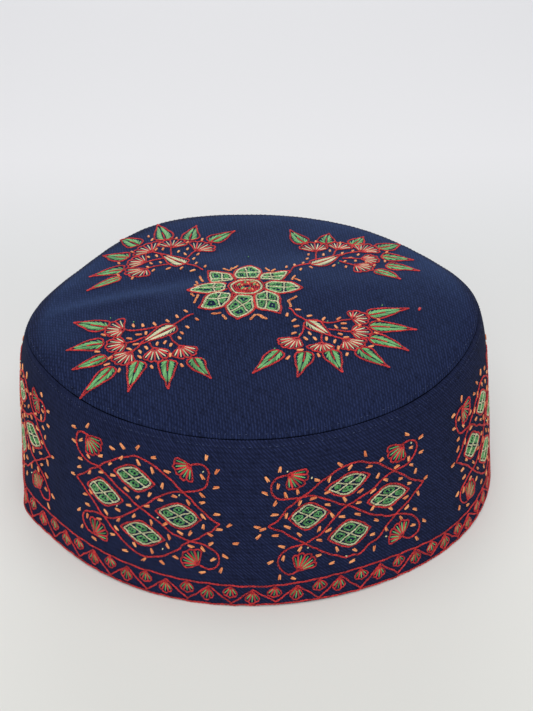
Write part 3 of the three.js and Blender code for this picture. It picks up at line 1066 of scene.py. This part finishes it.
# %% Chart the left medallion
LEFT_MEDALLION = {
    "centre": -25.8,
    "lines": [
        [(-39, 56.2), (-40.8, 56.3), (-42.6, 55), (-43, 51.8), (-42.2, 48.4), (-40.6, 46.6), (-37.8, 46),
         (-35.5, 45.6), (-32, 42.2), (-28.5, 39), (-25.7, 36), (-22, 33), (-18.2, 28.6), (-14.6, 26.8),
         (-11.2, 25.8), (-9, 23.4), (-8.3, 20.4), (-8.7, 17.4), (-10.3, 15.7), (-12, 16.4), (-13, 17.6)],
        [(-38.8, 16.2), (-40.6, 17), (-41.8, 19.2), (-42, 22), (-40.8, 24.6), (-38.4, 26.1), (-36, 26.8),
         (-33.5, 26.8), (-30, 30), (-26.5, 34.6), (-24, 38), (-20.6, 42.8), (-17.6, 45.4), (-15.5, 46.2),
         (-12.6, 47.3), (-10.6, 49.4), (-9.9, 52.5), (-10, 55.5), (-11.2, 57.6), (-13.4, 57)],
        [(-43.6, 37), (-41, 40), (-38.5, 43.4), (-36, 46.4), (-33.5, 49.6), (-30.6, 52.5), (-27.6, 54.8),
         (-25, 55.5), (-21.6, 53.7), (-18.5, 50.6), (-15.8, 46.6), (-14, 44), (-12, 40.6), (-10, 37.3),
         (-8, 35.2)],
        [(-43.6, 37), (-41, 34.4), (-38.5, 31.4), (-36, 27.5), (-33.5, 23.7), (-30.6, 19.8), (-28, 17.1),
         (-25.4, 15.8), (-22, 17.2), (-19, 20), (-17, 22.5), (-16, 24.6), (-14, 26.8), (-11.6, 29.5),
         (-9.8, 32), (-8, 35.2)],
    ],
    "lozenges": [
        ((-31.8, 47.2), (-26.7, 51.8), (-21.7, 46.9), (-26.3, 42.2)),
        ((-39.8, 36.6), (-35.3, 42), (-29.8, 36.2), (-35, 31.6)),
        ((-21.8, 36.4), (-16.3, 41.3), (-11.8, 36), (-16.5, 31)),
        ((-30.8, 25.3), (-25.5, 30.2), (-20, 25.2), (-25.5, 20.2)),
    ],
    "fans": [
        ((-39.6, 55.6), 14, -96, (6.8, 7.4, 6), 5), ((-13.6, 56.8), 160, 276, (5.6, 6.4, 6), 5),
        ((-38.6, 16.4), 106, -6, (6.4, 7.8, 5.6), 5), ((-12.8, 17.2), 76, 208, (6, 6.6, 5), 5),
    ],
    "ticks": [
        (-44, 56.2, 10), (-39.5, 59.3, 60), (-29.5, 57.5, -40), (-25.7, 58.7, 50), (-21.7, 56.8, 15),
        (-32.2, 55.3, -20), (-10.3, 60.3, 80), (-8.2, 55.5, 60), (-8.5, 49.5, 10), (-11.4, 46, -50),
        (-11.5, 43, 20), (-8.5, 39, 0), (-5.9, 35, 40), (-8.1, 33, 0), (-10, 30.5, -35), (-10, 26.6, 40),
        (-4.6, 27.5, 0), (-7, 21.7, -35), (-8, 15.7, 70), (-12, 13.9, 20), (-21, 15.3, -40),
        (-25.3, 14.3, 50), (-30, 15.5, 10), (-42.5, 16.5, 70), (-43.2, 23.3, 40), (-40.2, 27.8, 5),
        (-40.8, 31.7, 10), (-44.8, 37, 10), (-42.5, 41.5, 30), (-42, 45.3, 10), (-43.9, 51, -5),
        (-41.5, 52.8, 35), (-39.3, 48.3, -40), (-35.5, 50.5, 20), (-32.8, 49.3, 50), (-29.8, 53, 50),
        (-25.5, 53.5, -60), (-22.2, 52, -70), (-18.8, 52.8, -10), (-20, 47, 75), (-17.5, 43.8, -10),
        (-14.4, 42.3, -60), (-23, 42.5, 65), (-26, 39.7, 50), (-28.7, 41.5, -30), (-32.2, 45, 10),
        (-39, 41.8, 65), (-38.8, 34, -40), (-35.5, 44.3, 20), (-23.8, 37.3, 15), (-20.7, 41.2, -5),
        (-11.4, 37.5, -60), (-11.4, 33.2, 80), (-28.3, 35.3, 10), (-31.3, 31.7, -10), (-31.3, 27.5, 60),
        (-34.6, 28.7, -45), (-27.2, 31.5, 50), (-23, 31, -75), (-19.8, 31.8, 40), (-16.5, 29.4, -30),
        (-14.3, 29.9, 60), (-19, 26.8, -70), (-19.5, 23, -60), (-14.2, 24.5, -20), (-11.7, 24, -55),
        (-32, 23.5, -50), (-33.2, 20.2, 15), (-27.5, 19.6, -60), (-23.2, 18.9, -70), (-17.8, 18.9, -30),
        (-40.5, 22.7, 75), (-36.8, 24.2, 20), (-9.6, 20, 40), (-38.8, 14.4, -10), (-11.2, 53, -60),
    ],
    "specks": [(-21.4, 33.8, 20), (-16.3, 44.6, 70), (-20.6, 21.2, 70), (-31.5, 33.2, 60), (-11, 55, 60)],
}
print("The left medallion has", len(LEFT_MEDALLION["ticks"]), "ticks")

# %% [markdown]
# ## The right medallion
#
# The second one was meant to be the same, but it was drawn freely: its diamond leans, and one fan has
# a spoke more. It gets a chart of its own, because a copy of the first would look printed.

# %% Chart the right medallion
RIGHT_MEDALLION = {
    "centre": 20.3,
    "lines": [
        [(6.4, 54), (4.4, 53.8), (3, 51.4), (2.6, 48.4), (3.6, 46), (5, 45), (7, 44.9), (9.6, 45.3),
         (12, 44.6), (15, 41.8), (17.8, 39.2), (20.3, 37), (23, 33.6), (26, 30.8), (29, 28.5), (31, 27.8),
         (33.6, 26.4), (36, 23.5), (37.4, 20.6), (37.6, 18.2), (37, 16), (35, 15.1), (33.2, 16.8)],
        [(8.6, 15.2), (7.4, 13.9), (5.9, 13.9), (4.5, 16), (4, 19), (4.5, 22), (5.4, 23.9), (7.5, 25.3),
         (10, 26.4), (13, 28.8), (14.5, 31.5), (16, 34.5), (17.5, 37), (20, 39.1), (23.5, 41), (26, 43),
         (28, 45.2), (30, 46), (33, 46.4), (35.2, 48), (36.3, 50), (36.5, 52.5), (35.8, 54.3),
         (34.2, 55.2), (32.4, 54.8)],
        [(1.9, 34.3), (3.6, 36.2), (5, 39), (6.2, 41.8), (8, 44), (10, 46.3), (12.5, 49.3), (14, 51),
         (17, 53.5), (20, 54.4), (22, 53.8), (25, 52), (27, 50.2), (29.3, 47), (31.5, 44.5), (34, 41),
         (36.5, 38), (38.6, 36.3)],
        [(1.9, 34.3), (4.5, 32.3), (7, 29.4), (9, 26.8), (11.5, 24), (14, 21), (16.4, 18.6), (18.6, 16.8),
         (20.4, 17), (22, 16.6), (24, 19.4), (26.4, 21), (28.4, 24.4), (31, 28), (34, 31), (36.5, 34),
         (38.6, 36.3)],
    ],
    "lozenges": [
        ((13.8, 46.6), (19.3, 51), (24, 48), (18.8, 42.3)),
        ((6.2, 37.3), (10.2, 42.5), (15, 37.3), (10, 31.7)),
        ((23.5, 37.3), (29, 41.6), (34.3, 36.2), (28.6, 32.4)),
        ((14.6, 26.3), (19.3, 32.4), (24.4, 26.8), (20, 20.9)),
    ],
    "fans": [
        ((6.2, 54.4), 14, -98, (6, 6.8, 5.2), 5), ((32.6, 54.6), 164, 282, (6.6, 6.8, 5), 5),
        ((8.2, 14.9), 110, 6, (6, 7.6, 5.8), 5), ((33, 17.4), 62, 196, (6, 6.8, 5.4), 6),
    ],
    "ticks": [
        (4.5, 56.2, 80), (1.9, 53, -60), (1.5, 47.8, -25), (4.1, 50.3, 80), (5.6, 46.7, -75),
        (8.1, 47.3, -80), (3.5, 43.7, 60), (8.5, 43, 70), (3.4, 39.2, 0), (5.7, 38.5, 85),
        (5.9, 33.8, -30), (-0.2, 34.2, -20), (0.9, 33.3, 20), (0, 30.3, 50), (3.5, 30.5, 0),
        (8.5, 30, -50), (4.8, 25.7, -20), (8.6, 24, 60), (5.1, 20.7, 75), (2.4, 19.3, 30),
        (4.3, 12.6, 85), (7.1, 11.8, -30), (12.5, 20.2, 10), (16.7, 21.2, -70), (15.7, 15.7, 10),
        (20.3, 14.3, 20), (25.5, 17, 85), (20.8, 19, -45), (25.1, 23.3, 0), (28.5, 23.3, -70),
        (32.4, 25.3, -60), (35.8, 20, -20), (39, 19.5, -40), (36.9, 13.5, -60), (36.3, 26.3, -30),
        (34, 28.8, 30), (37.1, 32.3, -70), (33.5, 33.2, 15), (29.5, 31.3, -50), (25.8, 28.8, -35),
        (14.7, 29.8, 20), (12.7, 31, 75), (12.8, 26.5, -20), (17.7, 34.3, -10), (21.2, 33.8, -25),
        (15.5, 35.8, -60), (24.8, 34.3, 60), (21.4, 38.4, -10), (14.6, 40.3, -15), (18.2, 41.2, -60),
        (21.9, 42.7, 30), (24.9, 41.2, 20), (28, 43.8, -30), (31.7, 42, -5), (34.2, 38.5, -10),
        (36.1, 42, 70), (39.6, 37, 10), (11.4, 44, 10), (14.4, 45.4, 20), (26, 46.3, 60),
        (30.8, 47.3, 20), (35, 45.3, -25), (34.1, 48.5, 85), (37.9, 48.3, -5), (35, 52, -10),
        (37.9, 54, 10), (33.8, 57.6, -30), (22.9, 56.3, -80), (17.1, 55, -45), (12, 50.9, -20),
        (19.3, 53, 45), (23.9, 51.2, -10), (27, 52.3, 30), (14.7, 50.5, 70),
    ],
    "specks": [
        (11, 52, 60), (6, 55.4, 20), (18.9, 17.2, 0), (28.5, 20.2, 0), (10.3, 24.2, 60), (34.9, 53.8, 60),
    ],
}
print("The right medallion has", len(RIGHT_MEDALLION["ticks"]), "ticks")

# %% [markdown]
# ## All the way round the band
#
# The places of the medallions that show at the sides were read off the photograph, and the ones at
# the back follow in even steps. A chart is moved flat, in millimetres, before it is laid on the
# cloth, so it bends with the band wherever it goes.

# %% Stitch the medallions
MEDALLIONS = {"left": LEFT_MEDALLION, "right": RIGHT_MEDALLION}
ROUND_THE_BAND = (
    # chart, place in degrees, lift in millimetres
    ("left", -25.8, 0), ("right", 20.3, 0), ("left", 68.3, -3), ("right", 112, -1), ("left", 156, 0),
    ("right", 200, 0), ("left", 244, -1), ("right", 287.6, 0),
)
SIDES = ((0, 1), (1, 2), (2, 3), (3, 0))
BULGE = 1.16


def flat(points, centre, lift):
    """From degrees round the cap to millimetres from the medallion's middle."""
    points = np.array(points, float)
    points[:, 0] = (points[:, 0] - centre) * BAND_DEGREE
    points[:, 1] += lift
    return points


def stitch_lozenge(surface, corners):
    """The sides bulge a little, and the left and right corners stay sharp."""
    middle = corners.mean(0)
    sides = [middle + BULGE * ((corners[a] + corners[b]) / 2 - middle) for a, b in SIDES]
    upper = [corners[0], sides[0], corners[1], sides[1], corners[2]]
    lower = [corners[2], sides[2], corners[3], sides[3], corners[0]]
    chain("medallions_red", surface, upper, 0.85)
    chain("medallions_red", surface, lower, 0.85)
    stitch_cells("medallions", surface, np.vstack([smooth(upper), smooth(lower)[1:-1]]), middle, sides)


def stitch_medallion(kind, place, lift):
    chart = MEDALLIONS[kind]
    surface = on_band(place)
    for line in chart["lines"]:
        chain("medallions_red", surface, flat(line, chart["centre"], lift), 0.82, 1.42)
    for corners in chart["lozenges"]:
        stitch_lozenge(surface, flat(corners, chart["centre"], lift))
    for hub, *fan in chart["fans"]:
        stitch_fan("medallions", surface, flat([hub], chart["centre"], lift)[0], *fan, "green", 0.7)
    for key, thread, stitch in (("ticks", "orange", ticks), ("specks", "cream", specks)):
        marks = np.array(chart[key], float)
        marks[:, :2] = flat(marks[:, :2], chart["centre"], lift)
        stitch("medallions_" + thread, surface, marks)


for kind, place, lift in ROUND_THE_BAND:
    stitch_medallion(kind, place, lift)
print(len(ROUND_THE_BAND), "medallions go round the band")

# %% [markdown]
# ## The border
#
# Along the rim runs a border: a red line above, a red line close to the edge, and a zigzag between
# them, 38 times round. A small fan hangs under each peak of the zigzag, and another one hangs from
# the upper line in each gap. A hand never keeps a line quite level, so the upper line follows a
# short table of heights.

# %% Stitch the border
PERIODS = 38
FIRST_PEAK = -1.3
TABLE_STEP = 15  # degrees
TOP_LINE = (9.0, 10.2, 10.4, 8.5, 8.7, 9.0, 9.3, 9.8, 10, 9.6, 9.4, 9.5,
            9.6, 9.9, 10.1, 9.7, 9.3, 9.5, 10, 10.2, 10.6, 10.9, 10.2, 9.7)


def top_line(degrees):
    place = np.mod(np.asarray(degrees, float), 360) / TABLE_STEP
    row = np.floor(place).astype(int)
    near = [np.take(TOP_LINE, (row + k) % len(TOP_LINE)) for k in (-1, 0, 1, 2)]
    return through(*near, place - row)


def edge_line(degrees):
    return 0.9 + 0.25 * np.sin(np.radians(degrees * 7))


def round_line(height):
    """A line once round the cap, in eight lengths."""
    for start in range(0, 360, 45):
        s = np.linspace(0, 45, 16)
        chain("border_red", on_band(start), np.stack([s * BAND_DEGREE, height(start + s)], -1), 0.8)


round_line(top_line)
round_line(edge_line)
half = 180 / PERIODS * BAND_DEGREE
peak_shares = rng.uniform(0.83, 0.93, PERIODS)
valleys = rng.uniform(1.3, 2.2, PERIODS)
for k in range(PERIODS):
    peak = FIRST_PEAK + k * 360 / PERIODS
    high = float(top_line(peak))
    gap_high = float(top_line(peak + 180 / PERIODS))
    surface = on_band(peak)
    top = (0, peak_shares[k] * high)
    chain("border_red", surface, [(-half, valleys[k - 1]), top], 0.8)
    chain("border_red", surface, [top, (half, valleys[k])], 0.8)
    for hub, start, end, radii in (
        ((-0.1, top[1] - 0.9), 226, 312, (3.2, 5.4, 3.2)),
        ((half, gap_high - 0.6), 220, 320, (3.2, 4.7, 3.2)),
    ):
        lean = rng.uniform(-9, 9)
        stitch_fan("border", surface, hub, start + lean, end + lean, radii, 3, "green", 0.6)
print("The zigzag has", PERIODS, "peaks")

# %% [markdown]
# ## Topstitching at the seam
#
# After the crown is sewn on, the seam is pressed open, and one row of plain stitches in navy thread
# goes through the cloth on each side of it. They keep the edge crisp.

# %% Stitch along the seam
STITCH, SKIP = 0.8, 1.3
ROW_ON_CROWN, ROW_ON_BAND = 0.984, 0.965  # shares of the way across each panel


def topstitch(piece, spots, out):
    way = spaced(np.hstack([spots, out]), STITCH + SKIP, True)
    start, out = way[:, :3], unit(way[:, 3:])
    share = STITCH / (STITCH + SKIP) * rng.uniform(0.5, 1.2, (len(start), 1))
    along = (np.roll(start, -1, 0) - start) * share
    keep(piece, STRAND, start, along, unit(np.cross(out, along)) * 0.28, out * 0.14)


turns = np.linspace(-np.pi, np.pi, 720, endpoint=False)
crown_row = crown_point(turns, ROW_ON_CROWN)
topstitch("seam_navy", crown_row, crown_outward(crown_row[:, 0], crown_row[:, 1]))
topstitch("seam_navy", band_point(turns, ROW_ON_BAND), band_outward(turns, ROW_ON_BAND))
print("The seam has", sum(len(group[1]) for group in needlework["seam_navy"]), "topstitches")

# %% [markdown]
# ## Thread
#
# Embroidery thread is soft twisted cotton with a slight gloss. Its twist shows as fine slanting
# lines round each strand: the map of a stitch gives the way along it and the way round it, and a
# sine wave of both makes the twist. The twist bumps the surface and is also painted into the
# colour, as light on each ply and shade between them. Each stitch also has its own shade, a little
# lighter or darker, as real stitches catch the light differently.

# %% Make the threads
TWIST_LENGTH = 0.7 * MM
PLIES = 2


def thread_material(name, dark, light, gloss=0.35):
    material, tree, shader = new_material(name)
    split = node(tree, "ShaderNodeSeparateXYZ")
    link(tree, node(tree, "ShaderNodeUVMap", uv_map="thread").outputs[0], split.inputs[0])
    along = calc(tree, "MULTIPLY", split.outputs[0], 2 * math.pi / TWIST_LENGTH)
    turn = calc(tree, "MULTIPLY", split.outputs[1], 2 * math.pi * PLIES)
    twist = calc(tree, "MULTIPLY_ADD", calc(tree, "SINE", calc(tree, "ADD", along, turn)), 0.5, 0.5)
    tint = node(tree, "ShaderNodeAttribute", attribute_name="tint").outputs["Fac"]
    # painted light and shade of the plies, with each stitch's own shade
    shade = calc(tree, "MULTIPLY_ADD", twist, 0.35, calc(tree, "MULTIPLY", tint, 0.65))
    link(tree, mixed(tree, shade, linear(*dark), linear(*light)), shader.inputs["Base Color"])
    shader.inputs["Roughness"].default_value = 0.6
    shader.inputs["Specular IOR Level"].default_value = gloss
    shader.inputs["Sheen Weight"].default_value = 0.3 * gloss
    shader.inputs["Sheen Roughness"].default_value = 0.4
    bumped(tree, shader, twist, 0.05 * MM, 0.5)
    return material


THREADS = {
    "red": thread_material("red_thread", (138, 22, 28), (230, 56, 58)),
    "green": thread_material("green_thread", (38, 100, 48), (126, 200, 126)),
    "cream": thread_material("cream_thread", (164, 168, 126), (230, 228, 190)),
    "orange": thread_material("orange_thread", (196, 86, 40), (255, 178, 116)),
    # The navy thread is lighter than the cloth: partly the thread itself, partly a painted highlight for the
    # light that the seam's small puckers catch.
    "navy": thread_material("navy_thread", (26, 33, 58), (70, 80, 112), 0.05),
}
print("There are", len(THREADS), "threads")

# %% [markdown]
# ## From stitches to meshes
#
# Each group of stitches is known by where its copies start, how far they reach, and which way is
# aside and up. A copy of the small shape is stretched between them. Objects that share one mesh
# could do this too, but the cap has nearly fifteen thousand stitches, and arrays make all the
# copies of a colour at once. The map of each copy is stretched with it, so that the twist keeps its length.

# %% Join the stitches of each colour
def join_stitches(name, groups):
    """One mesh of every copy in the groups, each with its own shade."""
    spots, corners, counts, uv, tint = [], [], [], [], []
    first = 0
    for shape, start, along, side, up in groups:
        a, s, h = shape["spots"].T
        made = (start[:, None] + a[None, :, None] * along[:, None] + s[None, :, None] * side[:, None]
                + h[None, :, None] * up[:, None])
        copies, size = made.shape[:2]
        spots.append(made.reshape(-1, 3) * MM)
        shift = first + size * np.arange(copies)
        corners.append((shape["corners"][None] + shift[:, None]).ravel())
        counts.append(np.tile(shape["counts"], copies))
        reach = np.linalg.norm(along, axis=1) * MM
        uv.append(np.stack([shape["uv"][None, :, 0] * reach[:, None],
                            np.tile(shape["uv"][:, 1], (copies, 1))], -1).reshape(-1, 2))
        tint.append(np.repeat(rng.uniform(0, 1, copies), size))
        first += copies * size
    spots, corners, counts = np.concatenate(spots), np.concatenate(corners), np.concatenate(counts)
    mesh = bpy.data.meshes.new(name)
    mesh.vertices.add(len(spots))
    mesh.vertices.foreach_set("co", spots.astype(np.float32).ravel())
    mesh.loops.add(len(corners))
    mesh.loops.foreach_set("vertex_index", corners.astype(np.int32))
    mesh.polygons.add(len(counts))
    mesh.polygons.foreach_set("loop_start", np.concatenate([[0], np.cumsum(counts)[:-1]]).astype(np.int32))
    mesh.update(calc_edges=True)
    mesh.uv_layers.new(name="thread").data.foreach_set("uv", np.concatenate(uv).astype(np.float32).ravel())
    layer = mesh.attributes.new("tint", "FLOAT", "POINT")
    layer.data.foreach_set("value", np.concatenate(tint).astype(np.float32))
    mesh.validate()
    mesh.shade_smooth()
    print(name, "has", sum(len(g[1]) for g in groups), "stitches and", int((counts - 2).sum()), "triangles")
    return placed(name, mesh)


stitched = {}
for piece, groups in needlework.items():
    stitched[piece] = join_stitches(piece + "_thread", groups)
    stitched[piece].data.materials.append(THREADS[piece.rsplit("_", 1)[1]])

# %% [markdown]
# ## Floor and light
#
# The cap stands on a pale floor under very soft light. A disc three metres wide hangs over
# it like a skylight, a smaller one fills the front, and a low one behind stands for a bright
# backdrop, whose light skims over the crown. A dim sky does the rest, so the sides of the band stay
# a little darker. The floor's colour carries painted light and shade: it is darker in front, painted
# lighter just under the front of the rim against the cap's shadow, painted darker beside the cap
# as its soft shadow, and lighter towards the back.

# %% Lay the floor and hang the lights
FLOOR_PAINTED_LIGHT_AND_SHADE = (
    # metres behind the cap's middle, colour with its painted light and shade
    (-0.25, (211, 212, 208)), (-0.08, (226, 226, 223)), (0.06, (220, 220, 219)), (0.2, (223, 224, 225)),
    (0.36, (233, 233, 236)),
)
FLOOR_REACH = 6  # metres from the cap to each edge
LIT_PLACE = Vector((0, 0, 0.04))  # the middle of the cap, where every light points


def add_floor():
    bm = bmesh.new()
    bmesh.ops.create_grid(bm, x_segments=1, y_segments=1, size=FLOOR_REACH)
    mesh = bpy.data.meshes.new("floor")
    bm.to_mesh(mesh)
    bm.free()
    floor = placed("floor", mesh)
    material, tree, shader = new_material("pale_floor")
    place = node(tree, "ShaderNodeTexCoord").outputs["Object"]
    split = node(tree, "ShaderNodeSeparateXYZ")
    link(tree, place, split.inputs[0])
    far = node(tree, "ShaderNodeMapRange")
    far.inputs["From Min"].default_value = FLOOR_PAINTED_LIGHT_AND_SHADE[0][0]
    far.inputs["From Max"].default_value = FLOOR_PAINTED_LIGHT_AND_SHADE[-1][0]
    link(tree, split.outputs[1], far.inputs["Value"])
    ramp = node(tree, "ShaderNodeValToRGB")
    ramp.color_ramp.interpolation = "CARDINAL"
    stops = ramp.color_ramp.elements
    for y, _ in FLOOR_PAINTED_LIGHT_AND_SHADE[1:-1]:
        stops.new((y - FLOOR_PAINTED_LIGHT_AND_SHADE[0][0]) / (FLOOR_PAINTED_LIGHT_AND_SHADE[-1][0] - FLOOR_PAINTED_LIGHT_AND_SHADE[0][0]))
    for stop, (_, colour) in zip(stops, FLOOR_PAINTED_LIGHT_AND_SHADE):
        stop.color = linear(*colour)
    link(tree, far.outputs[0], ramp.inputs[0])
    link(tree, ramp.outputs["Color"], shader.inputs["Base Color"])
    shader.inputs["Roughness"].default_value = 0.9
    shader.inputs["Specular IOR Level"].default_value = 0.2
    mesh.materials.append(material)
    return floor


def add_window(name, place, size, power, colour):
    data = bpy.data.lights.new(name, "AREA")
    data.shape = "DISK"
    data.size = size
    data.energy = power
    data.color = colour
    light = placed(name, data)
    light.location = place
    light.rotation_euler = (LIT_PLACE - Vector(place)).to_track_quat("-Z", "Y").to_euler()


def set_sky(colour, strength):
    world = bpy.data.worlds.new("sky")
    bpy.context.scene.world = world
    world.use_nodes = True
    sky = world.node_tree.nodes["Background"]
    sky.inputs["Color"].default_value = colour
    sky.inputs["Strength"].default_value = strength


floor = add_floor()
add_window("window", (0, -0.45, 2.2), 3.0, 33, (1.0, 1.0, 0.99))
add_window("front_fill", (-0.1, -1.8, 1.2), 1.4, 21, (1.0, 1.0, 0.99))
add_window("backdrop", (0, 2.6, 0.9), 2.4, 28, (0.98, 0.99, 1.0))
set_sky(linear(232, 232, 233), 0.34)
print("The window light has", bpy.data.lights["window"].energy, "watts")

# %% [markdown]
# ## Hand over
#
# Every piece rides on the one body of the cap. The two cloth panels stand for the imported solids,
# and they are declared as sheets, with the size that each was cut to: the crown is a disc with
# 7 mm of turning all round, and the band is a strip with its hem and its turnings.

# %% Finish
for piece in (crown, band, *stitched.values()):
    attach(piece, "root")
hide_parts("crown")
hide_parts("side_band")
for name, piece in stitched.items():
    thread = name.rsplit("_", 1)[1]
